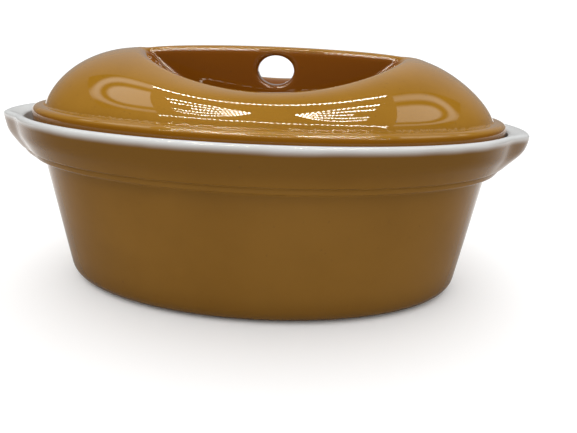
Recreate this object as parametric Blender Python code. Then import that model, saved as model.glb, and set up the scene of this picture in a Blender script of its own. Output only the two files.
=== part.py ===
"""An oval stoneware casserole with a domed lid: two separate glazed castings.

Both pieces are lofted through level oval rings. The dish's rings follow one wall profile, from the
foot up the outside, over the rim and down the inside, and swell into a lug at each end. The lid's
rings climb from its skirt over the full shoulder to a lip, and drop from there into a wide bowl. A web
that stands along the bowl divides it into two scoops and serves as the grip, and an oval finger
hole runs through the web.

X runs along the oval's length, Z points up, and the foot stands on Z = 0 under the origin.
"""

import math

import bmesh
import bpy
from mathutils import Vector

MM = 0.001

# The dish's outer oval at the rim. Every ring of the dish is this oval, inset by the same distance
# on both axes.
RIM_HALF_LENGTH = 163.3 * MM
RIM_HALF_WIDTH = 104.6 * MM
RIM_TOP = 114.4 * MM
RIM_THICKNESS = 5.6 * MM

# The outside of the dish, as insets from the rim's oval and heights above the foot.
COLLAR_BOTTOM = 91.2 * MM
COLLAR_BOTTOM_INSET = 6.4 * MM
CREASE_DEPTH = 1.6 * MM
CREASE_HEIGHT = 0.9 * MM
BEAD_RADIUS = 1.8 * MM
BEAD_INSET = 8.2 * MM
BEAD_DROP = 2.0 * MM
WALL_TOP = 86.0 * MM
WALL_TOP_INSET = 14.6 * MM
WALL_BOTTOM_INSET = 23.5 * MM
WALL_BOW = 0.4 * MM
WALL_TAPER_DEGREES = 7.0
HEEL_RADIUS = 13.6 * MM
FOOT_WIDTH = 7.0 * MM
FOOT_HEIGHT = 1.5 * MM

# The lugs: the collar and the rim drawn outwards at each end of the oval. The left one is fuller
# underneath, which is a smaller power of the lug's share.
LUG_REACH = 7.8 * MM
LUG_FLAT_HALF_WIDTH = 26.0 * MM
LUG_BASE_HALF_WIDTH = 46.0 * MM
LUG_SHARE_AT_COLLAR_BOTTOM = 0.35
LEFT_LUG_FULLNESS = 0.38
RIGHT_LUG_FULLNESS = 1.7

# The inside of the dish.
SEAT_HEIGHT = 100.0 * MM
SEAT_INNER_INSET = 16.0 * MM
WALL_THICKNESS = 6.8 * MM
FLOOR_HEIGHT = 8.0 * MM
FLOOR_CORNER_RADIUS = 12.0 * MM
SOFT_EDGE = 1.5 * MM

# The lid. It has a few millimetres of play in the dish, and lies towards +X.
SEAT_GAP = 0.4 * MM
LID_HALF_LENGTH = 154.5 * MM
LID_HALF_WIDTH = 95.8 * MM
LID_REST_SHIFT = 2.0 * MM
LID_THICKNESS = 7.0 * MM
FLANGE_TOP = 118.5 * MM
FLANGE_EDGE_RADIUS = 3.0 * MM
FLANGE_WIDTH = 8.0 * MM
SHOULDER_CURVE_AT_SIDES = 2.05
SHOULDER_CURVE_AT_ENDS = 1.8
SHOULDER_FULLNESS = 0.75
SHOULDER_LEAN = 2.3 * MM
SHOULDER_INSET = 5.0 * MM
SHOULDER_DROP = 7.0 * MM
SKIRT_CHAMFER = 2.0 * MM
SKIRT_TOP_DROP = 10.0 * MM

# The lip that rings the bowl: it dips at the middle of each long side, and lies a little off the
# middle of the lid.
LIP_OFFSET = 2.0 * MM
LIP_HALF_LENGTH = 87.5 * MM
LIP_HALF_WIDTH = 64.0 * MM
LIP_LOW = 135.5 * MM
LIP_HIGH = 155.0 * MM
BOWL_FLOOR = 119.0 * MM
BOWL_FLAT_SHARE = 0.2
BOWL_EASE = 1.6
BOWL_DROP = 8.0 * MM

# The web between the two scoops, and the finger hole through its middle.
WEB_OFFSET = 4.5 * MM
WEB_HALF_THICKNESS = 7.0 * MM
WEB_FOOT_FLARE = 4.0 * MM
WEB_TOP = 158.8 * MM
WEB_HALF_LENGTH = 96.0 * MM
WEB_SAG = 3.6 * MM
WEB_END_DIP = 2.8 * MM
WEB_RUNOUT = 1.0 * MM
WEB_EMBED = 4.0 * MM
HOLE_HALF_LENGTH = 11.6 * MM
HOLE_HALF_HEIGHT = 9.1 * MM
HOLE_HEIGHT = 144.2 * MM
HOLE_FLARE_LENGTH = 2.0 * MM
HOLE_FLARE_HEIGHT = 1.2 * MM

DISH_SEGMENTS = 80
LID_SEGMENTS = 64
WEB_STATIONS = 24
HOLE_SEGMENTS = 28

MUSTARD = (0.36, 0.16, 0.025, 1.0)
AMBER = (0.42, 0.19, 0.03, 1.0)


def clear_scene():
    for obj in list(bpy.data.objects):
        bpy.data.objects.remove(obj, do_unlink=True)


def glaze(name, colour, roughness):
    """A glossy glaze over stoneware."""
    material = bpy.data.materials.new(name)
    material.use_nodes = True
    shader = material.node_tree.nodes["Principled BSDF"]
    shader.inputs["Base Color"].default_value = colour
    shader.inputs["Roughness"].default_value = roughness
    shader.inputs["Metallic"].default_value = 0.0
    return material


def lerp(start, end, share):
    return start + (end - start) * share


def smoothstep(share):
    share = min(max(share, 0.0), 1.0)
    return share * share * (3.0 - 2.0 * share)


def arc(centre_inset, centre_height, radius, start, end, steps):
    """Profile points round an arc. An angle of 0 degrees faces outwards, and 90 faces up."""
    points = []
    for i in range(steps + 1):
        angle = math.radians(lerp(start, end, i / steps))
        points.append((centre_inset - radius * math.cos(angle), centre_height + radius * math.sin(angle)))
    return points


def oval_angles(segments):
    """Angles round an oval, set closer together at its two narrow ends."""
    turns = [2.0 * math.pi * i / segments for i in range(segments)]
    return [turn - 0.25 * math.sin(2.0 * turn) for turn in turns]


def loft(name, rings, material):
    """A closed solid through the rings, with one face over the first ring and one over the last."""
    mesh = bmesh.new()
    loops = [[mesh.verts.new(point) for point in ring] for ring in rings]
    for lower, upper in zip(loops, loops[1:]):
        for i, corner in enumerate(lower):
            following = (i + 1) % len(lower)
            mesh.faces.new((corner, lower[following], upper[following], upper[i]))
    mesh.faces.new(reversed(loops[0]))
    mesh.faces.new(loops[-1])
    bmesh.ops.recalc_face_normals(mesh, faces=mesh.faces)
    data = bpy.data.meshes.new(name)
    mesh.to_mesh(data)
    mesh.free()
    data.materials.append(material)
    data.shade_smooth()
    data.set_sharp_from_angle(angle=math.radians(40.0))
    obj = bpy.data.objects.new(name, data)
    bpy.context.scene.collection.objects.link(obj)
    return obj


def move_origin(obj, origin):
    """Puts the object's origin at a point and leaves its shape where it is."""
    for vertex in obj.data.vertices:
        vertex.co -= origin
    obj.location = origin


# The dish ---------------------------------------------------------------------------------------


def lug_share_at(height):
    """How far out the lug reaches at a height on the outside, as a share of its full reach."""
    if height < COLLAR_BOTTOM:
        under = smoothstep((height - WALL_TOP) / (COLLAR_BOTTOM - WALL_TOP))
        return LUG_SHARE_AT_COLLAR_BOTTOM * under
    climb = min((height - COLLAR_BOTTOM) / (RIM_TOP - RIM_THICKNESS - COLLAR_BOTTOM), 1.0)
    return lerp(LUG_SHARE_AT_COLLAR_BOTTOM, 1.0, math.sin(climb * math.pi / 2.0))


def foot_and_wall():
    """The underside, foot ring, rounded heel and tapering outer wall."""
    heel_inset = WALL_BOTTOM_INSET + HEEL_RADIUS
    foot = [
        (heel_inset + FOOT_WIDTH + FOOT_HEIGHT, FOOT_HEIGHT),
        (heel_inset + FOOT_WIDTH, 0.0),
    ]
    heel = arc(heel_inset, HEEL_RADIUS, HEEL_RADIUS, -90.0, -WALL_TAPER_DEGREES, 5)
    wall_middle = (
        (WALL_BOTTOM_INSET + WALL_TOP_INSET) / 2.0 - WALL_BOW,
        (HEEL_RADIUS + WALL_TOP) / 2.0,
    )
    return foot + heel + [wall_middle, (WALL_TOP_INSET, WALL_TOP)]


def bead_and_collar():
    """The ledge above the wall, the thin bead at its edge, the crease and the flared collar."""
    bead = arc(BEAD_INSET + BEAD_RADIUS, COLLAR_BOTTOM - BEAD_DROP, BEAD_RADIUS, -60.0, 50.0, 3)
    crease = [
        (COLLAR_BOTTOM_INSET + CREASE_DEPTH, COLLAR_BOTTOM),
        (COLLAR_BOTTOM_INSET, COLLAR_BOTTOM + CREASE_HEIGHT),
    ]
    collar = []
    collar_top = RIM_TOP - RIM_THICKNESS / 2.0
    for climb in (0.25, 0.5, 0.75):
        inset = COLLAR_BOTTOM_INSET * (1.0 - math.sin(climb * math.pi / 2.0))
        collar.append((inset, lerp(COLLAR_BOTTOM, collar_top, climb)))
    return bead + crease + collar


def inside_of_dish():
    """The lid's recess, the seat, the inner wall and the rounded floor corner."""
    recess = [(RIM_THICKNESS, SEAT_HEIGHT + SOFT_EDGE), (RIM_THICKNESS + SOFT_EDGE, SEAT_HEIGHT)]
    seat = [(SEAT_INNER_INSET - SOFT_EDGE, SEAT_HEIGHT), (SEAT_INNER_INSET, SEAT_HEIGHT - SOFT_EDGE)]
    wall_top = (WALL_TOP_INSET + WALL_THICKNESS, WALL_TOP)
    wall_bottom_inset = WALL_BOTTOM_INSET + WALL_THICKNESS
    corner = arc(
        wall_bottom_inset + FLOOR_CORNER_RADIUS,
        FLOOR_HEIGHT + FLOOR_CORNER_RADIUS,
        FLOOR_CORNER_RADIUS,
        -WALL_TAPER_DEGREES,
        -90.0,
        4,
    )
    return recess + seat + [wall_top] + corner


def dish_profile():
    """Insets, heights and lug shares, from the underside round to the floor inside."""
    profile = [(inset, height, lug_share_at(height)) for inset, height in foot_and_wall() + bead_and_collar()]
    radius = RIM_THICKNESS / 2.0
    steps = 6
    rim = arc(radius, RIM_TOP - radius, radius, 0.0, 180.0, steps)
    for i, (inset, height) in enumerate(rim):
        profile.append((inset, height, math.cos(math.pi / 2.0 * i / steps)))
    profile += [(inset, height, 0.0) for inset, height in inside_of_dish()]
    return profile


def dish_ring(inset, height, lug_share):
    ring = []
    for angle in oval_angles(DISH_SEGMENTS):
        x = (RIM_HALF_LENGTH - inset) * math.cos(angle)
        y = (RIM_HALF_WIDTH - inset) * math.sin(angle)
        from_flat = (LUG_BASE_HALF_WIDTH - abs(y)) / (LUG_BASE_HALF_WIDTH - LUG_FLAT_HALF_WIDTH)
        fullness = LEFT_LUG_FULLNESS if x < 0.0 else RIGHT_LUG_FULLNESS
        reach = LUG_REACH * max(lug_share, 0.0) ** fullness * smoothstep(from_flat)
        ring.append(Vector((x + math.copysign(reach, x), y, height)))
    return ring


def make_dish():
    rings = [dish_ring(*station) for station in dish_profile()]
    return loft("dish", rings, glaze("mustard_glaze", MUSTARD, 0.25))


# The lid ----------------------------------------------------------------------------------------


def lid_ring(half_length, half_width, height_at, shift=0.0):
    """A ring of the lid. height_at gives the height at an angle round the oval."""
    ring = []
    for angle in oval_angles(LID_SEGMENTS):
        x = LID_REST_SHIFT + shift + half_length * math.cos(angle)
        ring.append(Vector((x, half_width * math.sin(angle), height_at(angle))))
    return ring


def level_lid_ring(inset, height):
    return lid_ring(LID_HALF_LENGTH - inset, LID_HALF_WIDTH - inset, lambda angle: height)


def lip_height(angle):
    """The lip is high at the two ends of the bowl and low at the middle of each long side."""
    return lerp(LIP_LOW, LIP_HIGH, math.cos(angle) ** 2)


def shoulder_rise(share, angle):
    """How far the shoulder has climbed from the flange (0) to the lip (1)."""
    curve = lerp(SHOULDER_CURVE_AT_SIDES, SHOULDER_CURVE_AT_ENDS, math.cos(angle) ** 2)
    return (1.0 - (1.0 - share) ** curve) ** SHOULDER_FULLNESS


def shoulder_ring(share, inset=0.0, drop=0.0):
    """A ring of the shoulder, from the flange (share 0) to the lip (share 1)."""
    half_length = lerp(LID_HALF_LENGTH - FLANGE_WIDTH, LIP_HALF_LENGTH, share) - inset
    half_width = lerp(LID_HALF_WIDTH - FLANGE_WIDTH, LIP_HALF_WIDTH, share) - inset
    return lid_ring(
        half_length,
        half_width,
        lambda angle: lerp(FLANGE_TOP, lip_height(angle), shoulder_rise(share, angle)) - drop,
        LIP_OFFSET * share - SHOULDER_LEAN * math.sin(math.pi * share),
    )


def bowl_rise(radius_share):
    """How far the bowl has climbed from its floor (0) to the lip (1)."""
    climb = max((radius_share - BOWL_FLAT_SHARE) / (1.0 - BOWL_FLAT_SHARE), 0.0)
    return smoothstep(climb**BOWL_EASE)


def bowl_ring(radius_share, drop=0.0):
    """A ring of the bowl, from its middle (share 0) to the lip (share 1)."""
    rise = bowl_rise(radius_share)
    return lid_ring(
        LIP_HALF_LENGTH * radius_share,
        LIP_HALF_WIDTH * radius_share,
        lambda angle: lerp(BOWL_FLOOR, lip_height(angle), rise) - drop,
        LIP_OFFSET,
    )


def lid_shell_rings():
    """The lid without its web, from the underside of the bowl out, round the skirt and back in."""
    skirt_bottom = SEAT_HEIGHT + SEAT_GAP
    edge = arc(FLANGE_EDGE_RADIUS, FLANGE_TOP - FLANGE_EDGE_RADIUS, FLANGE_EDGE_RADIUS, 0.0, 90.0, 3)
    skirt = [
        (LID_THICKNESS, FLANGE_TOP - SKIRT_TOP_DROP),
        (LID_THICKNESS, skirt_bottom),
        (SKIRT_CHAMFER, skirt_bottom),
        (0.0, skirt_bottom + SKIRT_CHAMFER),
    ]
    bowl_shares = (BOWL_FLAT_SHARE, 0.4, 0.55, 0.7, 0.82)
    shoulder_shares = (1.0, 0.85, 0.7, 0.5, 0.3, 0.15, 0.05, 0.0)
    rings = [bowl_ring(share, BOWL_DROP) for share in bowl_shares]
    rings += [shoulder_ring(share, SHOULDER_INSET, SHOULDER_DROP) for share in shoulder_shares]
    rings += [level_lid_ring(inset, height) for inset, height in skirt + edge]
    rings += [shoulder_ring(share) for share in reversed(shoulder_shares)]
    rings += [bowl_ring(share) for share in (0.92, *reversed(bowl_shares))]
    return rings


def web_ring(along):
    """The web's section at a distance along from its middle: flared foot, straight sides, round crown."""
    end_share = abs(along) / WEB_HALF_LENGTH
    crown = WEB_TOP - WEB_SAG * end_share**2 - WEB_END_DIP * end_share**8
    radius_share = abs(WEB_OFFSET + along - LIP_OFFSET) / LIP_HALF_LENGTH
    floor = lerp(BOWL_FLOOR, LIP_HIGH, bowl_rise(radius_share))
    if radius_share > 1.0:
        floor = crown - WEB_RUNOUT
    bottom = floor - WEB_EMBED
    foot_top = min(floor + 2.0 * WEB_FOOT_FLARE, crown - WEB_RUNOUT)
    spring = max(foot_top, crown - WEB_HALF_THICKNESS)
    side = []
    for climb in (0.0, 0.4, 1.0):
        flare = WEB_FOOT_FLARE * (1.0 - climb) ** 2
        side.append((WEB_HALF_THICKNESS + flare, lerp(bottom, foot_top, climb)))
    for step in (1, 2, 3):
        turn = math.radians(30.0 * step)
        side.append((WEB_HALF_THICKNESS * math.cos(turn), lerp(spring, crown, math.sin(turn))))
    loop = side + [(-across, height) for across, height in reversed(side[:-1])]
    x = LID_REST_SHIFT + WEB_OFFSET + along
    return [Vector((x, across, height)) for across, height in loop]


def make_web(material):
    spacing = 2.0 * WEB_HALF_LENGTH / WEB_STATIONS
    stations = [-WEB_HALF_LENGTH + spacing * i for i in range(WEB_STATIONS + 1)]
    return loft("web", [web_ring(along) for along in stations], material)


def make_hole_cutter(material):
    """An oval bar through the web that widens towards both mouths, so that the edges are soft.

    Each station is a distance across, in half thicknesses of the web, and a share of the flare."""
    stations = ((-2.5, 2.5), (-1.0, 1.0), (-0.55, 0.0), (0.55, 0.0), (1.0, 1.0), (2.5, 2.5))
    rings = []
    for across, flare in stations:
        half_length = HOLE_HALF_LENGTH + flare * HOLE_FLARE_LENGTH
        half_height = HOLE_HALF_HEIGHT + flare * HOLE_FLARE_HEIGHT
        ring = []
        for i in range(HOLE_SEGMENTS):
            angle = 2.0 * math.pi * i / HOLE_SEGMENTS
            x = LID_REST_SHIFT + WEB_OFFSET + half_length * math.cos(angle)
            z = HOLE_HEIGHT + half_height * math.sin(angle)
            ring.append(Vector((x, across * WEB_HALF_THICKNESS, z)))
        rings.append(ring)
    return loft("hole_cutter", rings, material)


def combine(obj, other, operation):
    """Joins the other shape to the object or cuts it away, then hides the other shape."""
    modifier = obj.modifiers.new(other.name, "BOOLEAN")
    modifier.operation = operation
    modifier.object = other
    modifier.solver = "EXACT"
    other.hide_render = True
    other.display_type = "WIRE"


def make_lid():
    material = glaze("amber_glaze", AMBER, 0.15)
    lid = loft("lid", lid_shell_rings(), material)
    move_origin(lid, Vector((LID_REST_SHIFT, 0.0, SEAT_HEIGHT)))
    combine(lid, make_web(material), "UNION")
    combine(lid, make_hole_cutter(material), "DIFFERENCE")
    return lid


def main():
    clear_scene()
    make_dish()
    make_lid()


main()
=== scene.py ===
"""The looks of an oval stoneware casserole with a domed lid.

The dish is a fine loft through oval rings that follow one rounded wall profile. The lid is a solid
described by a distance field, so that its shoulder, scoops, web and finger hole blend into one
another as thick glaze does, and a surface net turns that field into a mesh. Both stand in for the
plain CAD castings and take their sizes from them.
"""

import math

import bpy
import numpy as np
from mathutils import Matrix, Vector


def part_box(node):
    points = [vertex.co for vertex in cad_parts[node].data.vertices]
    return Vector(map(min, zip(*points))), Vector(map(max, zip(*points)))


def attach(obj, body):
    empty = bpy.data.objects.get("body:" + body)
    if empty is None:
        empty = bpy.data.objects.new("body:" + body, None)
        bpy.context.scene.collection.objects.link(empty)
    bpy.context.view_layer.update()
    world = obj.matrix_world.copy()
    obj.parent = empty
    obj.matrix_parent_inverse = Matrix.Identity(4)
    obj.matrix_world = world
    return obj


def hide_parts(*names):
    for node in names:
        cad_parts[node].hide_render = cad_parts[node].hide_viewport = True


MM = 0.001

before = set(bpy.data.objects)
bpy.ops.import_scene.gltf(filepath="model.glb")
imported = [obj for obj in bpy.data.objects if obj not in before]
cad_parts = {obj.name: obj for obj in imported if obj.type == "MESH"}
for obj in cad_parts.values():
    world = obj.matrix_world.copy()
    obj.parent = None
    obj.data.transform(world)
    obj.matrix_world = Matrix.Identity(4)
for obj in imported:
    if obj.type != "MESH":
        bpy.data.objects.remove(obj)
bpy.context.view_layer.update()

# Sizes read from the frame ----------------------------------------------------------------------

dish_low, dish_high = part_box("dish")
lid_low, lid_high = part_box("lid")

# The lugs: the collar and the rim drawn outwards at each end of the oval.
LUG_REACH = 7.8 * MM
LUG_FLAT_HALF_WIDTH = 26.0 * MM
LUG_BASE_HALF_WIDTH = 46.0 * MM
LUG_SHARE_AT_COLLAR_BOTTOM = 0.35
LEFT_LUG_FULLNESS = 0.38
RIGHT_LUG_FULLNESS = 1.7

# The dish's profile, as insets from the rim's oval and heights above the foot. It starts and ends
# near the middle of the oval, where one face closes the underside and one closes the floor.
RIM_HALF_LENGTH = dish_high.x - LUG_REACH
RIM_HALF_WIDTH = dish_high.y
RIM_TOP = dish_high.z
MIDDLE_INSET = RIM_HALF_WIDTH - 12.0 * MM
FOOT_INNER_INSET = 44.1 * MM
FOOT_HEIGHT = 1.5 * MM
FOOT_RADIUS = 0.6 * MM
UNDERSIDE_RADIUS = 0.8 * MM
HEEL_INSET = 25.2 * MM
HEEL_RADIUS = 12.24 * MM
WALL_TOP = RIM_TOP - 28.4 * MM
WALL_TOP_INSET = 14.6 * MM
LEDGE_RADIUS = 2.0 * MM
COLLAR_BOTTOM = RIM_TOP - 23.2 * MM
COLLAR_BOTTOM_INSET = 6.4 * MM
BEAD_INSET = COLLAR_BOTTOM_INSET + 2.0 * MM
BEAD_DROP = 3.4 * MM
BEAD_RADIUS = 1.8 * MM
BEAD_TOP_INSET = COLLAR_BOTTOM_INSET + 1.4 * MM
BEAD_TOP_DROP = 0.6 * MM
BEAD_TOP_RADIUS = 0.9 * MM
CREASE_INSET = COLLAR_BOTTOM_INSET + 1.7 * MM
CREASE_RADIUS = 0.6 * MM
COLLAR_EDGE_INSET = COLLAR_BOTTOM_INSET - 0.2 * MM
COLLAR_EDGE_RISE = 0.9 * MM
COLLAR_EDGE_RADIUS = 1.2 * MM
FLARE_INSET = 1.4 * MM
FLARE_CLIMB = 0.45
FLARE_RADIUS = 16.0 * MM
RIM_THICKNESS = 5.6 * MM
RIM_OUTER_RADIUS = RIM_THICKNESS * 0.44
RIM_INNER_RADIUS = RIM_THICKNESS * 0.499
RECESS_INSET = RIM_THICKNESS + 0.4 * MM
RECESS_RADIUS = 1.6 * MM
SEAT_HEIGHT = RIM_TOP - 14.4 * MM
SEAT_INNER_INSET = 16.0 * MM
SEAT_RADIUS = 2.0 * MM
WALL_THICKNESS = 6.8 * MM
INNER_WALL_TOP = WALL_TOP + 2.0 * MM
INNER_WALL_RADIUS = 6.0 * MM
FLOOR_HEIGHT = 8.0 * MM
FLOOR_CORNER_RADIUS = 13.0 * MM
WHITE_EDGE_HEIGHT = RIM_TOP - 1.2 * MM

# The lid, about its own middle.
LID_MIDDLE = (lid_low.x + lid_high.x) / 2.0
LID_HALF_LENGTH = (lid_high.x - lid_low.x) / 2.0
LID_HALF_WIDTH = lid_high.y
LID_BOTTOM = lid_low.z
LID_THICKNESS = 7.0 * MM
WEB_TOP = lid_high.z
FLANGE_TOP = WEB_TOP - 40.3 * MM
FLANGE_WIDTH = 8.0 * MM
SHOULDER_CURVE_AT_SIDES = 2.05
SHOULDER_CURVE_AT_ENDS = 1.8
SHOULDER_FULLNESS = 0.75
SHOULDER_LEAN = 2.3 * MM
LIP_OFFSET = 2.0 * MM
LIP_HALF_LENGTH = 87.5 * MM
LIP_HALF_WIDTH = 64.0 * MM
LIP_HIGH = WEB_TOP - 3.8 * MM
LIP_LOW = WEB_TOP - 23.3 * MM
BOWL_FLOOR = WEB_TOP - 39.8 * MM
BOWL_FLAT_SHARE = 0.2
BOWL_EASE = 1.6
WEB_OFFSET = 4.5 * MM
WEB_HALF_TOP = 5.6 * MM
WEB_HALF_FOOT = 7.6 * MM
WEB_ROOT = 5.0 * MM
WEB_HALF_LENGTH = 97.0 * MM
WEB_SAG = 3.6 * MM
WEB_END_DIP = 2.8 * MM
HOLE_HALF_LENGTH = 11.6 * MM
HOLE_HALF_HEIGHT = 9.1 * MM
HOLE_HEIGHT = WEB_TOP - 14.6 * MM
HOLE_REACH = 20.0 * MM

# How widely the lid's surfaces blend where they meet.
SHOULDER_FOOT_BLEND = 3.0 * MM
FLANGE_EDGE_BLEND = 5.0 * MM
SKIRT_BOTTOM_BLEND = 3.5 * MM
SKIRT_INSIDE_BLEND = 2.5 * MM
HOLLOW_BLEND = 7.0 * MM
WEB_CROWN_BLEND = 5.5 * MM
WEB_END_BLEND = 8.0 * MM
WEB_BLEND_AT_FLOOR = 9.0 * MM
WEB_BLEND_AT_LIP = 2.5 * MM
HOLE_BLEND = 4.0 * MM

# How finely the meshes and the tables behind them are made.
DISH_SEGMENTS = 300
OUTSIDE_SPACING = 1.8 * MM
INSIDE_SPACING = 2.4 * MM
NET_STEP = 1.4 * MM
FIELD_STEP = 0.2 * MM
TABLE_STEP = 2.0 * MM
TABLE_HALF_LENGTH = LID_HALF_LENGTH + 4.0 * MM
CURVATURE_STEP = 2.0 * MM

# The glazes -------------------------------------------------------------------------------------

DISH_ROUGHNESS = 0.13
LID_ROUGHNESS = 0.04
# How far the painted shade in the scoops reaches.
SCOOP_SHADE_EDGE_SHARE = 0.10
SCOOP_SHADE_CROWN_DROP = 4.0 * MM
FAR_PAST_EDGE = 50.0 * MM
FADE_BELOW_EDGE = 4.2 * MM
FADE_ABOVE_EDGE = 1.4 * MM
WHITE_GLAZE = (0.62, 0.63, 0.63, 1.0)
WHITE_GLAZE_THIN = (0.57, 0.58, 0.57, 1.0)
MUSTARD = (0.158, 0.072, 0.0085, 1.0)
MUSTARD_THIN = (0.180, 0.084, 0.011, 1.0)
# A darker mustard, painted in as shade under the rim and towards the foot.
MUSTARD_PAINTED_SHADE = (0.112, 0.049, 0.004, 1.0)
AMBER = (0.28, 0.130, 0.010, 1.0)
AMBER_THIN = (0.32, 0.152, 0.014, 1.0)
# A darker amber, painted in as shade inside the scoops.
AMBER_PAINTED_SHADE = (0.180, 0.053, 0.002, 1.0)
# A darker amber, painted in as shade on the flange's upright side.
AMBER_SIDE_PAINTED_SHADE = (0.215, 0.080, 0.001, 1.0)
AMBER_EDGE = (0.42, 0.23, 0.055, 1.0)
CLAY_PALE = (0.55, 0.45, 0.33, 1.0)
CLAY_DARK = (0.42, 0.33, 0.23, 1.0)
SPECK = (0.07, 0.035, 0.01, 1.0)

# The stage, in metres ---------------------------------------------------------------------------

FLOOR_SIZE = 60.0
DIM_FLOOR_START = 0.24
DIM_FLOOR_FULL = -0.12
LAMP_HEIGHT = 0.52
LAMP_GLOW = 80.0
FAN_START = 0.05
FAN_END = 0.27
# Each row of a fan: its place from the fan's back (0) to its front (1), then its start and end.
FAN_ROWS = (
    (0.00, 0.05, 0.235),
    (0.25, 0.06, 0.24),
    (0.50, 0.07, 0.20),
    (0.75, 0.06, 0.26),
    (1.00, 0.05, 0.27),
)
LAMP_COLOUR = (1.0, 0.93, 0.80, 1.0)
WINDOW_DEPTH = 0.47
WINDOW_GLOW = 2.4
WINDOW_COLOUR = (1.0, 0.95, 0.85, 1.0)
KEY_PLACE = (-0.5, -1.0, 1.5)
KEY_TARGET = (0.0, 0.0, 0.1)
KEY_SIZE = (1.6, 0.8)
KEY_POWER = 5.0
BACKDROP = 1.1
BLACK = (0.0, 0.0, 0.0, 1.0)
WHITE = (1.0, 1.0, 1.0, 1.0)
ROOM = (0.12, 0.115, 0.11, 1.0)
PAPER_PALE = (0.97, 0.97, 0.97, 1.0)
PAPER_SHADED = (0.95, 0.95, 0.95, 1.0)
PAPER_IN_REFLECTION = (0.22, 0.21, 0.20, 1.0)
CAMERA_PLACE = (0.0320, -0.3298, 0.1592)
CAMERA_HEADING = math.radians(2.37)
CAMERA_LOOKS_DOWN = math.radians(19.39)
CAMERA_LEAN = math.radians(2.31)
CAMERA_LENS = 30.13
CAMERA_SENSOR = 36.0


def smoothstep(share):
    """0 up to a share of 0, 1 from a share of 1, and a smooth climb between."""
    share = np.clip(share, 0.0, 1.0)
    return share * share * (3.0 - 2.0 * share)


def lerp(start, end, share):
    return start + (end - start) * share


# The dish ---------------------------------------------------------------------------------------


def rounded(corners, arc_steps=8):
    """Points along a profile whose corners, given as (inset, height, radius), are rounded off."""
    points = [Vector(corners[0][:2])]
    for before, corner, after in zip(corners, corners[1:], corners[2:]):
        here = Vector(corner[:2])
        to_before = (Vector(before[:2]) - here).normalized()
        to_after = (Vector(after[:2]) - here).normalized()
        half_angle = to_before.angle(to_after) / 2.0
        radius = corner[2]
        centre = here + (to_before + to_after).normalized() * (radius / math.sin(half_angle))
        start = (here + to_before * (radius / math.tan(half_angle)) - centre).normalized()
        end = (here + to_after * (radius / math.tan(half_angle)) - centre).normalized()
        for step in range(arc_steps + 1):
            points.append(centre + start.slerp(end, step / arc_steps).normalized() * radius)
    points.append(Vector(corners[-1][:2]))
    return points


def with_spacing(points, spacing):
    """The same profile with extra points, so that no stretch is longer than the spacing."""
    dense = [points[0]]
    for start, end in zip(points, points[1:]):
        steps = max(1, math.ceil((end - start).length / spacing))
        dense += [start.lerp(end, step / steps) for step in range(1, steps + 1)]
    return dense


def outside_corners():
    """From the middle of the underside, over the foot, wall, bead and collar, to the top of the rim."""
    return [
        (MIDDLE_INSET, FOOT_HEIGHT, 0.0),
        (FOOT_INNER_INSET + FOOT_HEIGHT, FOOT_HEIGHT, UNDERSIDE_RADIUS),
        (FOOT_INNER_INSET, 0.0, FOOT_RADIUS),
        (HEEL_INSET, 0.0, HEEL_RADIUS),
        (WALL_TOP_INSET, WALL_TOP, LEDGE_RADIUS),
        (BEAD_INSET, COLLAR_BOTTOM - BEAD_DROP, BEAD_RADIUS),
        (BEAD_TOP_INSET, COLLAR_BOTTOM - BEAD_TOP_DROP, BEAD_TOP_RADIUS),
        (CREASE_INSET, COLLAR_BOTTOM, CREASE_RADIUS),
        (COLLAR_EDGE_INSET, COLLAR_BOTTOM + COLLAR_EDGE_RISE, COLLAR_EDGE_RADIUS),
        (FLARE_INSET, lerp(COLLAR_BOTTOM, RIM_TOP, FLARE_CLIMB), FLARE_RADIUS),
        (0.0, RIM_TOP, RIM_OUTER_RADIUS),
        (RIM_THICKNESS / 2.0, RIM_TOP, 0.0),
    ]


def inside_corners():
    """From the top of the rim, down the recess, over the seat and down the inside to the floor."""
    return [
        (RIM_THICKNESS / 2.0, RIM_TOP, 0.0),
        (RIM_THICKNESS, RIM_TOP, RIM_INNER_RADIUS),
        (RECESS_INSET, SEAT_HEIGHT, RECESS_RADIUS),
        (SEAT_INNER_INSET, SEAT_HEIGHT, SEAT_RADIUS),
        (WALL_TOP_INSET + WALL_THICKNESS, INNER_WALL_TOP, INNER_WALL_RADIUS),
        (HEEL_INSET + WALL_THICKNESS, FLOOR_HEIGHT, FLOOR_CORNER_RADIUS),
        (MIDDLE_INSET, FLOOR_HEIGHT, 0.0),
    ]


def lug_share(inset, height, outside):
    """How far out the lug reaches at a point of the profile, as a share of its full reach."""
    if height > RIM_TOP - RIM_THICKNESS / 2.0:
        return math.cos(math.pi / 2.0 * min(inset / RIM_THICKNESS, 1.0))
    if not outside:
        return 0.0
    if height < COLLAR_BOTTOM:
        under = smoothstep((height - WALL_TOP) / (COLLAR_BOTTOM - WALL_TOP))
        return LUG_SHARE_AT_COLLAR_BOTTOM * float(under)
    climb = min((height - COLLAR_BOTTOM) / (RIM_TOP - RIM_THICKNESS - COLLAR_BOTTOM), 1.0)
    return lerp(LUG_SHARE_AT_COLLAR_BOTTOM, 1.0, math.sin(climb * math.pi / 2.0))


def dish_stations():
    """(inset, height, lug share, height past the glaze boundary) along the whole profile. The inside
    counts as far past the boundary."""
    stations = []
    for inset, height in with_spacing(rounded(outside_corners()), OUTSIDE_SPACING):
        past_edge = height - WHITE_EDGE_HEIGHT
        stations.append((inset, height, lug_share(inset, height, True), past_edge))
    for inset, height in with_spacing(rounded(inside_corners()), INSIDE_SPACING)[1:]:
        stations.append((inset, height, lug_share(inset, height, False), FAR_PAST_EDGE))
    return stations


def ring_angles(segments):
    """Angles round an oval, set closer together at its two narrow ends."""
    turns = np.linspace(0.0, 2.0 * math.pi, segments, endpoint=False)
    return turns - 0.25 * np.sin(2.0 * turns)


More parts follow.
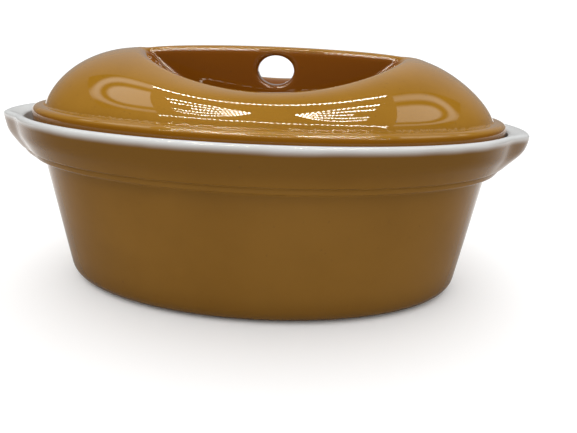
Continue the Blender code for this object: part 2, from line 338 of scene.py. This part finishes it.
def dish_ring(inset, height, share):
    """One level ring of the dish, with the lugs drawn out by their share."""
    angles = ring_angles(DISH_SEGMENTS)
    x = (RIM_HALF_LENGTH - inset) * np.cos(angles)
    y = (RIM_HALF_WIDTH - inset) * np.sin(angles)
    from_flat = (LUG_BASE_HALF_WIDTH - np.abs(y)) / (LUG_BASE_HALF_WIDTH - LUG_FLAT_HALF_WIDTH)
    left = -LUG_REACH * share**LEFT_LUG_FULLNESS
    right = LUG_REACH * share**RIGHT_LUG_FULLNESS
    x = x + np.where(x < 0.0, left, right) * smoothstep(from_flat)
    return np.stack([x, y, np.full_like(x, height)], axis=1)


def mesh_object(name, points, faces, attributes):
    """A smooth-shaded object from points and faces, with one number per point for each attribute."""
    data = bpy.data.meshes.new(name)
    data.from_pydata(points.tolist(), [], faces)
    for key, values in attributes.items():
        layer = data.attributes.new(key, "FLOAT", "POINT")
        layer.data.foreach_set("value", np.asarray(values, np.float32))
    data.shade_smooth()
    obj = bpy.data.objects.new(name, data)
    bpy.context.scene.collection.objects.link(obj)
    return obj


def make_dish():
    """The dish, lofted through its rings and closed by one face at each end."""
    stations = dish_stations()
    points = np.concatenate([dish_ring(inset, height, share) for inset, height, share, past in stations])
    faces = []
    for ring in range(len(stations) - 1):
        for i in range(DISH_SEGMENTS):
            following = (i + 1) % DISH_SEGMENTS
            low = ring * DISH_SEGMENTS
            high = low + DISH_SEGMENTS
            faces.append((low + i, high + i, high + following, low + following))
    last = (len(stations) - 1) * DISH_SEGMENTS
    faces.append(tuple(range(DISH_SEGMENTS)))
    faces.append(tuple(last + i for i in reversed(range(DISH_SEGMENTS))))
    past_edge = np.repeat([past for inset, height, share, past in stations], DISH_SEGMENTS)
    return mesh_object("dish_body", points, faces, {"past_edge": past_edge})


# The lid as a distance field --------------------------------------------------------------------


def smooth_max(a, b, width):
    """The larger of two fields, with the crease between them rounded off."""
    closeness = np.maximum(width - np.abs(a - b), 0.0) / width
    return np.maximum(a, b) + closeness * closeness * width / 4.0


def smooth_min(a, b, width):
    return -smooth_max(-a, -b, width)


def oval_distance(x, y, half_length, half_width):
    """About how far a point lies outside an oval. It is negative inside."""
    reach = np.sqrt((x / half_length) ** 2 + (y / half_width) ** 2) + 1e-9
    slope = np.sqrt((x / half_length**2) ** 2 + (y / half_width**2) ** 2) / reach + 1e-9
    return (reach - 1.0) / slope


def lip_height(cosine):
    """The lip is high at the two ends of the bowl and low at the middle of each long side."""
    return lerp(LIP_LOW, LIP_HIGH, cosine**2)


def shoulder_middle(share):
    """The middle of a level oval of the shoulder. The shoulder leans a little towards -X."""
    return LIP_OFFSET * share - SHOULDER_LEAN * np.sin(math.pi * share)


def shoulder_share(x, y):
    """Where a point lies between the flange's oval (0) and the lip's oval (1), by Newton's method."""
    length_drop = LID_HALF_LENGTH - FLANGE_WIDTH - LIP_HALF_LENGTH
    width_drop = LID_HALF_WIDTH - FLANGE_WIDTH - LIP_HALF_WIDTH
    share = np.full(np.broadcast(x, y).shape, 0.5)
    for _ in range(7):
        half_length = LIP_HALF_LENGTH + length_drop * (1.0 - share)
        half_width = LIP_HALF_WIDTH + width_drop * (1.0 - share)
        u, v = (x - shoulder_middle(share)) / half_length, y / half_width
        reach = np.sqrt(u * u + v * v) + 1e-9
        slope = u * (u * length_drop - LIP_OFFSET) / half_length + v * v * width_drop / half_width
        slope = slope / reach
        share = np.clip(share - (reach - 1.0) / (slope + 1e-9), -0.25, 1.0)
    return share


def shoulder_height(x, y):
    share = shoulder_share(x, y)
    half_length = lerp(LID_HALF_LENGTH - FLANGE_WIDTH, LIP_HALF_LENGTH, share)
    cosine = np.clip((x - shoulder_middle(share)) / half_length, -1.0, 1.0)
    curve = lerp(SHOULDER_CURVE_AT_SIDES, SHOULDER_CURVE_AT_ENDS, cosine**2)
    rise = (1.0 - (1.0 - np.maximum(share, 0.0)) ** curve) ** SHOULDER_FULLNESS
    return lerp(FLANGE_TOP, lip_height(cosine), rise)


def bowl_height(x, y):
    u = (x - LIP_OFFSET) / LIP_HALF_LENGTH
    radius = np.sqrt(u**2 + (y / LIP_HALF_WIDTH) ** 2) + 1e-9
    share = np.clip((radius - BOWL_FLAT_SHARE) / (1.0 - BOWL_FLAT_SHARE), 0.0, 1.0)
    cosine = u / radius
    return lerp(BOWL_FLOOR, lip_height(cosine), smoothstep(share**BOWL_EASE))


def top_height(x, y):
    """The lid's upper surface without its web."""
    in_bowl = ((x - LIP_OFFSET) / LIP_HALF_LENGTH) ** 2 + (y / LIP_HALF_WIDTH) ** 2 < 1.0
    surface = np.where(in_bowl, bowl_height(x, y), shoulder_height(x, y))
    return smooth_max(surface, np.full_like(surface, FLANGE_TOP), SHOULDER_FOOT_BLEND)


def web_crown(x):
    """The height of the web's top edge, which sags towards both ends."""
    share = (x - WEB_OFFSET) / WEB_HALF_LENGTH
    return WEB_TOP - WEB_SAG * share**2 - WEB_END_DIP * share**8


def web_field(x, y, z):
    """The web as a bar that stands along the bowl, thicker at its foot than at its crown."""
    height_share = np.clip((z - BOWL_FLOOR) / (WEB_TOP - BOWL_FLOOR), 0.0, 1.0)
    side = np.abs(y) - lerp(WEB_HALF_FOOT, WEB_HALF_TOP, height_share)
    upright = smooth_max(side, z - web_crown(x), WEB_CROWN_BLEND)
    return smooth_max(upright, np.abs(x - WEB_OFFSET) - WEB_HALF_LENGTH, WEB_END_BLEND)


def hole_field(x, y, z):
    """The finger hole as an oval bar across the web."""
    tube = oval_distance(x - WEB_OFFSET, z - HOLE_HEIGHT, HOLE_HALF_LENGTH, HOLE_HALF_HEIGHT)
    return np.maximum(tube, np.abs(y) - HOLE_REACH)


def steepness_table():
    """The length of the upper surface's normal, on a coarse grid over the lid's rear half."""
    x = np.arange(-TABLE_HALF_LENGTH, TABLE_HALF_LENGTH + TABLE_STEP, TABLE_STEP)[:, None]
    y = np.arange(0.0, LID_HALF_WIDTH + 2.0 * TABLE_STEP, TABLE_STEP)[None, :]
    slope_x = (top_height(x + FIELD_STEP, y) - top_height(x - FIELD_STEP, y)) / (2.0 * FIELD_STEP)
    slope_y = (top_height(x, y + FIELD_STEP) - top_height(x, y - FIELD_STEP)) / (2.0 * FIELD_STEP)
    return np.sqrt(1.0 + slope_x**2 + slope_y**2)


STEEPNESS = steepness_table()


def steepness(x, y):
    """The table's value at a point, blended from the four grid values round it."""
    column = np.clip((x + TABLE_HALF_LENGTH) / TABLE_STEP, 0.0, STEEPNESS.shape[0] - 1.001)
    row = np.clip(np.abs(y) / TABLE_STEP, 0.0, STEEPNESS.shape[1] - 1.001)
    i, j = column.astype(int), row.astype(int)
    u, v = column - i, row - j
    near = lerp(STEEPNESS[i, j], STEEPNESS[i, j + 1], v)
    far = lerp(STEEPNESS[i + 1, j], STEEPNESS[i + 1, j + 1], v)
    return lerp(near, far, u)


def lid_fields(x, y, z):
    """The lid's field, negative inside the clay, and the field of the hollow under it."""
    above_top = (z - top_height(x, y)) / steepness(x, y)
    edge = oval_distance(x, y, LID_HALF_LENGTH, LID_HALF_WIDTH)
    outer = smooth_max(above_top, edge, FLANGE_EDGE_BLEND)
    outer = smooth_max(outer, LID_BOTTOM - z, SKIRT_BOTTOM_BLEND)
    inner_edge = oval_distance(x, y, LID_HALF_LENGTH - LID_THICKNESS, LID_HALF_WIDTH - LID_THICKNESS)
    hollow = smooth_max(above_top + LID_THICKNESS, inner_edge, HOLLOW_BLEND)
    shell = smooth_max(outer, -hollow, SKIRT_INSIDE_BLEND)
    web = np.maximum(web_field(x, y, z), -above_top - WEB_ROOT)
    climb = smoothstep((z - BOWL_FLOOR) / (LIP_HIGH - BOWL_FLOOR))
    body = smooth_min(shell, web, lerp(WEB_BLEND_AT_FLOOR, WEB_BLEND_AT_LIP, climb))
    return smooth_max(body, -hole_field(x, y, z), HOLE_BLEND), hollow


def lid_field(points):
    return lid_fields(points[:, 0], points[:, 1], points[:, 2])[0]


def gradient(points):
    """The field's slope at each point, which points out of the clay."""
    columns = []
    for axis in np.eye(3) * FIELD_STEP:
        columns.append((lid_field(points + axis) - lid_field(points - axis)) / (2.0 * FIELD_STEP))
    return np.stack(columns, axis=1)


def along(axis, part):
    """An index that takes one part of a grid along an axis and all of it along the others."""
    return tuple(part if i == axis else slice(None) for i in range(3))


def grid_edges(values, axis):
    """Where the field changes sign along one axis of the grid, and how far along each edge."""
    near = values[along(axis, slice(None, -1))]
    far = values[along(axis, slice(1, None))]
    crosses = (near < 0.0) != (far < 0.0)
    share = np.where(crosses, near / np.where(crosses, near - far, 1.0), 0.0)
    return near < 0.0, crosses, share


def net_points(values, corner, step):
    """A point for each cell that the surface crosses, amid the crossings on the cell's edges, and the
    number of each cell's point."""
    cells = tuple(n - 1 for n in values.shape)
    total = np.zeros(cells + (3,))
    count = np.zeros(cells)
    for axis in range(3):
        _, crosses, share = grid_edges(values, axis)
        others = [i for i in range(3) if i != axis]
        for first in (0, 1):
            for second in (0, 1):
                part = [slice(None)] * 3
                part[others[0]] = slice(first, first + cells[others[0]])
                part[others[1]] = slice(second, second + cells[others[1]])
                here = crosses[tuple(part)]
                count += here
                total[..., axis] += np.where(here, share[tuple(part)], 0.0)
                total[..., others[0]] += here * first
                total[..., others[1]] += here * second
    used = count > 0
    number = np.full(cells, -1)
    number[used] = np.arange(used.sum())
    cell_corner = np.argwhere(used)
    return corner + step * (cell_corner + total[used] / count[used][:, None]), number


def net_quads(values, number):
    """A quad round each edge of the grid that the surface crosses, facing out of the clay."""
    quads = []
    for axis in range(3):
        starts_inside, crosses, _ = grid_edges(values, axis)
        u, v = (axis + 1) % 3, (axis + 2) % 3
        at = np.argwhere(crosses)
        flipped = ~starts_inside[crosses]
        corners = []
        for back_u, back_v in ((1, 1), (0, 1), (0, 0), (1, 0)):
            cell = at.copy()
            cell[:, u] -= back_u
            cell[:, v] -= back_v
            corners.append(number[tuple(cell.T)])
        quad = np.stack(corners, axis=1)
        quad[flipped] = quad[flipped][:, ::-1]
        quads.append(quad)
    return np.concatenate(quads)


def settle(points, quads, rounds=3):
    """Evens out the net along the surface and pulls each point onto it."""
    count = np.bincount(quads.ravel(), minlength=len(points))
    for _ in range(rounds):
        centres = np.repeat(points[quads].mean(axis=1), 4, axis=0)
        sums = [np.bincount(quads.ravel(), centres[:, axis], len(points)) for axis in range(3)]
        points = np.stack(sums, axis=1) / count[:, None]
        for _ in range(2):
            slope = gradient(points)
            pull = lid_field(points) / np.maximum((slope**2).sum(axis=1), 0.2)
            points = points - slope * np.clip(pull, -NET_STEP, NET_STEP)[:, None]
    return points


def lid_grid():
    """The field on a grid that covers the lid with a cell to spare all round."""
    low = np.array([-LID_HALF_LENGTH, -LID_HALF_WIDTH, LID_BOTTOM]) - 2.0 * NET_STEP
    high = np.array([LID_HALF_LENGTH, LID_HALF_WIDTH, WEB_TOP]) + 3.0 * NET_STEP
    x, y, z = (np.arange(a, b, NET_STEP) for a, b in zip(low, high))
    values, _ = lid_fields(x[:, None, None], y[None, :, None], z[None, None, :])
    return values, low


def bulge(points):
    """How far the surface curves outwards at each point: high on edges and negative in creases."""
    around = [lid_field(points + axis) + lid_field(points - axis) for axis in np.eye(3) * CURVATURE_STEP]
    return sum(around) / (6.0 * CURVATURE_STEP)


def scoop_shade(points):
    """1 inside the scoops, where shade is painted into the glaze, and 0 outside the lip and on the web's
    crown.
    """
    x, y, z = points.T
    radius = np.sqrt(((x - LIP_OFFSET) / LIP_HALF_LENGTH) ** 2 + (y / LIP_HALF_WIDTH) ** 2)
    under_crown = web_crown(x) - z
    return smoothstep((1.0 - radius) / SCOOP_SHADE_EDGE_SHARE) * smoothstep(under_crown / SCOOP_SHADE_CROWN_DROP)


def make_lid():
    """The lid's net, with normals from the field and the attributes that its glaze reads."""
    values, corner = lid_grid()
    points, number = net_points(values, corner, NET_STEP)
    quads = net_quads(values, number)
    points = settle(points, quads)
    normals = gradient(points)
    _, hollow = lid_fields(points[:, 0], points[:, 1], points[:, 2])
    attributes = {"hollow": np.abs(hollow), "bulge": bulge(points), "scoop_shade": scoop_shade(points)}
    points = points + np.array([LID_MIDDLE, 0.0, 0.0])
    obj = mesh_object("lid_body", points, quads.tolist(), attributes)
    normals = normals / np.linalg.norm(normals, axis=1)[:, None]
    obj.data.normals_split_custom_set_from_vertices(normals.tolist())
    return obj


# Materials --------------------------------------------------------------------------------------


class Nodes:
    """The node graph of a material or a world, built one node at a time."""

    def __init__(self, owner):
        owner.use_nodes = True
        self.tree = owner.node_tree

    def add(self, kind, inputs=(), **settings):
        """Adds a node. Each input is a number, a colour or another node's output."""
        node = self.tree.nodes.new(kind)
        for key, value in settings.items():
            setattr(node, key, value)
        for key, value in dict(inputs).items():
            self.feed(node.inputs[key], value)
        return node

    def feed(self, socket, value):
        """Links another node's output to an input, or sets the input to a number or a colour."""
        if isinstance(value, bpy.types.NodeSocket):
            self.tree.links.new(value, socket)
        else:
            socket.default_value = value

    def shade(self, **inputs):
        """Sets the inputs of the material's own shader."""
        shader = self.tree.nodes["Principled BSDF"]
        for key, value in inputs.items():
            self.feed(shader.inputs[key.replace("_", " ")], value)

    def place(self):
        """The point in the object's own space, in metres."""
        return self.add("ShaderNodeTexCoord").outputs["Object"]

    def noise(self, scale, detail=3.0, roughness=0.5):
        inputs = {"Vector": self.place(), "Scale": scale, "Detail": detail, "Roughness": roughness}
        return self.add("ShaderNodeTexNoise", inputs).outputs["Fac"]

    def height(self):
        return self.add("ShaderNodeSeparateXYZ", {"Vector": self.place()}).outputs["Z"]

    def ranged(self, value, low, high, to_low=0.0, to_high=1.0):
        """The value carried smoothly from one range to another, and held at its ends."""
        inputs = {"Value": value, "From Min": low, "From Max": high, "To Min": to_low, "To Max": to_high}
        return self.add("ShaderNodeMapRange", inputs, interpolation_type="SMOOTHSTEP").outputs["Result"]

    def math(self, operation, first, second):
        node = self.add("ShaderNodeMath", {0: first, 1: second}, operation=operation)
        return node.outputs["Value"]

    def mix(self, share, first, second):
        """The first colour where the share is 0 and the second where it is 1."""
        node = self.add("ShaderNodeMix", {"Factor": share}, data_type="RGBA")
        self.feed(node.inputs[6], first)
        self.feed(node.inputs[7], second)
        return node.outputs[2]

    def attribute(self, name):
        return self.add("ShaderNodeAttribute", attribute_name=name).outputs["Fac"]

    def bump(self, layers):
        """A normal from noises laid one over another, each as (noise, height in metres)."""
        normal = None
        for noise, depth in layers:
            node = self.add("ShaderNodeBump", {"Height": noise, "Distance": depth})
            if normal is not None:
                self.feed(node.inputs["Normal"], normal)
            normal = node.outputs["Normal"]
        return normal


def glazed(g, top, white_share, clay_share, roughness):
    """A coloured glaze and a white glaze that share one body of clay. Both are slightly cloudy and
    wavy, with a few iron specks and a fine grain."""
    speck = g.ranged(g.noise(420.0, detail=2.0), 0.70, 0.76)
    cloud = g.noise(9.0, detail=4.0, roughness=0.6)
    white = g.mix(cloud, WHITE_GLAZE, WHITE_GLAZE_THIN)
    clay = g.mix(g.noise(260.0, detail=4.0, roughness=0.7), CLAY_PALE, CLAY_DARK)
    colour = g.mix(g.math("MULTIPLY", speck, 0.3), top, SPECK)
    colour = g.mix(white_share, colour, white)
    colour = g.mix(clay_share, colour, clay)
    glossy = g.ranged(cloud, 0.3, 0.7, roughness * 0.85, roughness * 1.15)
    g.shade(
        Base_Color=colour,
        Roughness=g.math("MAXIMUM", glossy, g.math("MULTIPLY", clay_share, 0.85)),
        Normal=g.bump([(g.noise(14.0, detail=1.0), 0.05 * MM), (g.noise(350.0, detail=2.0), 0.0008 * MM)]),
    )


def dish_glaze():
    """Mustard outside, painted darker as shade under the rim and towards the foot, and running thin at the
    rim, where the white glaze of the inside takes over.
    """
    material = bpy.data.materials.new("dish_glaze")
    g = Nodes(material)
    waver = g.ranged(g.noise(30.0, detail=2.0), 0.3, 0.7, -0.25 * MM, 0.25 * MM)
    past_edge = g.math("ADD", g.attribute("past_edge"), waver)
    streak = g.ranged(g.noise(14.0, detail=5.0, roughness=0.6), 0.3, 0.7)
    mustard = g.mix(streak, MUSTARD, MUSTARD_THIN)
    # Painted shade: the mustard darkens on the collar under the rim and towards the foot.
    painted_shade_under_rim = g.ranged(g.height(), WALL_TOP + 1.0 * MM, RIM_TOP - 8.0 * MM, 0.0, 0.8)
    painted_shade_at_foot = g.ranged(g.height(), 24.0 * MM, 4.0 * MM, 0.0, 0.7)
    mustard = g.mix(g.math("MAXIMUM", painted_shade_under_rim, painted_shade_at_foot), mustard, MUSTARD_PAINTED_SHADE)
    clay_share = g.ranged(g.height(), 0.5 * MM, 0.1 * MM)
    white_share = g.ranged(past_edge, -FADE_BELOW_EDGE, FADE_ABOVE_EDGE)
    glazed(g, mustard, white_share, clay_share, DISH_ROUGHNESS)
    g.shade(Specular_IOR_Level=0.3)
    return material


def lid_glaze():
    """Amber on top, painted darker as shade in the scoops and on the flange's side, and thinner on the
    edges; white below.
    """
    material = bpy.data.materials.new("lid_glaze")
    g = Nodes(material)
    amber = g.mix(g.ranged(g.noise(14.0, detail=5.0, roughness=0.6), 0.3, 0.7), AMBER, AMBER_THIN)
    # Painted shade: the amber darkens inside the scoops.
    amber = g.mix(g.attribute("scoop_shade"), amber, AMBER_PAINTED_SHADE)
    amber = g.mix(g.ranged(g.attribute("bulge"), 0.05, 0.5), amber, AMBER_EDGE)
    # Painted shade: the amber darkens on the flange's upright side, below its top.
    amber = g.mix(g.ranged(g.height(), FLANGE_TOP - 0.6 * MM, FLANGE_TOP - 2.4 * MM), amber, AMBER_SIDE_PAINTED_SHADE)
    white_share = g.ranged(g.attribute("hollow"), 2.0 * MM, 1.0 * MM)
    clay_share = g.ranged(g.height(), LID_BOTTOM + 0.8 * MM, LID_BOTTOM + 0.3 * MM)
    glazed(g, amber, white_share, clay_share, LID_ROUGHNESS)
    return material


# The stage --------------------------------------------------------------------------------------


def staged_plane(name, width, depth, location, material):
    """A level rectangle that belongs to the stage and not to the object."""
    bpy.ops.mesh.primitive_plane_add(size=1.0, location=location)
    plane = bpy.context.object
    plane.name = name
    plane.scale = (width, depth, 1.0)
    plane.data.materials.append(material)
    return plane


def paper():
    """White paper. The glaze reflects the part in front of the dish only dimly. The plane is one unit
    wide before it is scaled, so its own Y is a share of the floor's size."""
    material = bpy.data.materials.new("floor_paper")
    g = Nodes(material)
    paper_white = g.mix(g.noise(3.0), PAPER_PALE, PAPER_SHADED)
    in_reflection = g.add("ShaderNodeLightPath").outputs["Is Glossy Ray"]
    across = g.add("ShaderNodeSeparateXYZ", {"Vector": g.place()}).outputs["Y"]
    in_front = g.ranged(across, DIM_FLOOR_START / FLOOR_SIZE, DIM_FLOOR_FULL / FLOOR_SIZE)
    g.shade(
        Base_Color=g.mix(g.math("MULTIPLY", in_reflection, in_front), paper_white, PAPER_IN_REFLECTION),
        Roughness=0.9,
        Specular_IOR_Level=0.1,
    )
    return material


def glow(g, colour, strength):
    """A surface that shines and reflects nothing."""
    g.shade(
        Base_Color=BLACK,
        Specular_IOR_Level=0.0,
        Emission_Color=colour,
        Emission_Strength=strength,
    )


def lamp_glow():
    material = bpy.data.materials.new("lamp_glow")
    glow(Nodes(material), LAMP_COLOUR, LAMP_GLOW)
    return material


def window_glow(side):
    """A brighter middle near the panel's inner edge and a dim ring round it, open to that edge."""
    material = bpy.data.materials.new("window_glow")
    g = Nodes(material)
    place = g.add("ShaderNodeTexCoord").outputs["Generated"]
    parts = g.add("ShaderNodeSeparateXYZ", {"Vector": place}).outputs
    inner_edge, outer_edge = (1.0, 0.0) if side < 0.0 else (0.0, 1.0)
    across = g.ranged(parts["X"], inner_edge, outer_edge, -0.1, 0.9)
    along = g.math("SUBTRACT", g.math("MULTIPLY", parts["Y"], 2.0), 1.0)
    squares = g.math("ADD", g.math("POWER", across, 2.0), g.math("MULTIPLY", along, along))
    reach = g.math("SQRT", squares, 0.0)
    core = g.ranged(reach, 0.56, 0.40)
    ring = g.math("MULTIPLY", g.ranged(reach, 0.62, 0.76, 0.0, 0.75), g.ranged(reach, 1.0, 0.82))
    strength = g.math("MULTIPLY", g.math("MAXIMUM", core, ring), WINDOW_GLOW)
    glow(g, WINDOW_COLOUR, strength)
    return material


def only_in_reflections(obj):
    """Hides an object from the camera and keeps it from lighting or shading the scene."""
    obj.visible_camera = False
    obj.visible_diffuse = False
    obj.visible_shadow = False


def lamp_row(path, start, end, pitch, size):
    """The corners of small glowing rectangles along a path, which gives y at each x."""
    corners = []
    count = round((end - start) / pitch)
    for i in range(count):
        x = lerp(start, end, (i + 0.5) / count)
        y = path(x)
        half_x, half_y = size[0] / 2.0, size[1] / 2.0
        corners += [(x - half_x, y - half_y), (x - half_x, y + half_y)]
        corners += [(x + half_x, y + half_y), (x + half_x, y - half_y)]
    return corners


def back_path(x):
    """The row over the dish bends away from the camera towards both ends."""
    return -0.012 - 0.094 * x + 1.5 * x * x


def front_path(x):
    """The row in front of the dish is nearly straight."""
    return -0.370 + 0.12 * (x - 0.1) ** 2


def fan_row(side, share, inner, outer):
    """One of the rows that spread out on each side like a fan, from its back (0) to its front (1)."""

    def path(x):
        spread = (abs(x) - FAN_START) / (FAN_END - FAN_START)
        back = -0.18 + 0.24 * spread - 0.10 * spread**2
        front = -0.18 - 0.32 * spread + 0.27 * spread**2
        return lerp(back, front, share)

    start, end = (inner, outer) if side > 0.0 else (-outer, -inner)
    return lamp_row(path, start, end, pitch=0.0100, size=(0.0045, 0.012))


def make_lamps():
    """Rows of small lamps overhead, which only show as reflections in the glaze."""
    corners = lamp_row(back_path, -0.24, 0.22, pitch=0.010, size=(0.0055, 0.010))
    corners += lamp_row(front_path, -0.40, 0.44, pitch=0.018, size=(0.009, 0.012))
    for side in (-1.0, 1.0):
        for share, inner, outer in FAN_ROWS:
            corners += fan_row(side, share, inner, outer)
    points = [(x, y, LAMP_HEIGHT) for x, y in corners]
    faces = [tuple(range(i, i + 4)) for i in range(0, len(points), 4)]
    data = bpy.data.meshes.new("lamp_rows")
    data.from_pydata(points, [], faces)
    data.materials.append(lamp_glow())
    lamps = bpy.data.objects.new("lamp_rows", data)
    bpy.context.scene.collection.objects.link(lamps)
    only_in_reflections(lamps)


def make_window(side, width, middle, turn):
    """A soft panel overhead at one side (-1 left, 1 right), turned about the vertical in degrees."""
    plane = staged_plane("window", width, WINDOW_DEPTH, (*middle, LAMP_HEIGHT), window_glow(side))
    plane.rotation_euler.z = math.radians(turn)
    only_in_reflections(plane)


def make_key_light():
    """One large soft lamp, high in front and to the left, that the glaze doesn't reflect."""
    data = bpy.data.lights.new("key", "AREA")
    data.shape = "RECTANGLE"
    data.size, data.size_y = KEY_SIZE
    data.energy = KEY_POWER
    light = bpy.data.objects.new("key", data)
    light.location = KEY_PLACE
    light.rotation_euler = (Vector(KEY_TARGET) - Vector(KEY_PLACE)).to_track_quat("-Z", "Y").to_euler()
    light.visible_glossy = False
    bpy.context.scene.collection.objects.link(light)


def make_world():
    """White paper all round, brightest overhead. Reflections see a dim room instead, which lets half
    of the paper through straight behind the dish."""
    world = bpy.data.worlds.new("studio")
    g = Nodes(world)
    direction = g.add("ShaderNodeTexCoord").outputs["Generated"]
    parts = g.add("ShaderNodeSeparateXYZ", {"Vector": direction}).outputs
    light_path = g.add("ShaderNodeLightPath").outputs
    strength = g.ranged(parts["Z"], 0.0, 0.9, 0.65, 1.45)
    backdrop = g.math("MULTIPLY", light_path["Is Camera Ray"], BACKDROP)
    strength = g.math("MAXIMUM", strength, backdrop)
    ahead = g.ranged(parts["Y"], 0.95, 0.25, 0.5, 1.0)
    room = g.math("MULTIPLY", ahead, light_path["Is Glossy Ray"])
    background = g.tree.nodes["Background"]
    g.feed(background.inputs["Color"], g.mix(room, WHITE, ROOM))
    g.feed(background.inputs["Strength"], strength)
    bpy.context.scene.world = world


def make_lights():
    make_key_light()
    make_lamps()
    make_window(-1.0, width=0.37, middle=(-0.475, -0.03), turn=-20.0)
    make_window(1.0, width=0.46, middle=(0.55, -0.03), turn=31.0)
    make_world()


def make_camera():
    """The camera stands in front and a little to the right, looks down, and leans slightly."""
    data = bpy.data.cameras.new("camera")
    data.sensor_width = CAMERA_SENSOR
    data.lens = CAMERA_LENS
    camera = bpy.data.objects.new("camera", data)
    heading = Matrix.Rotation(CAMERA_HEADING, 4, "Z")
    tilt = Matrix.Rotation(math.pi / 2.0 - CAMERA_LOOKS_DOWN, 4, "X")
    lean = Matrix.Rotation(CAMERA_LEAN, 4, "Z")
    place = Matrix.Translation(CAMERA_PLACE)
    camera.matrix_world = place @ heading @ tilt @ lean
    bpy.context.scene.collection.objects.link(camera)
    bpy.context.scene.camera = camera


def dress(obj, node, body, material):
    """Gives a piece its material, lets it stand in for a CAD node and ties it to that node's body."""
    obj.data.materials.append(material)
    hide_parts(node)
    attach(obj, body)


dress(make_dish(), "dish", "dish", dish_glaze())
dress(make_lid(), "lid", "lid", lid_glaze())
staged_plane("floor", FLOOR_SIZE, FLOOR_SIZE, (0.0, 0.0, 0.0), paper())
make_lights()
make_camera()
bpy.context.scene.view_settings.view_transform = "Standard"
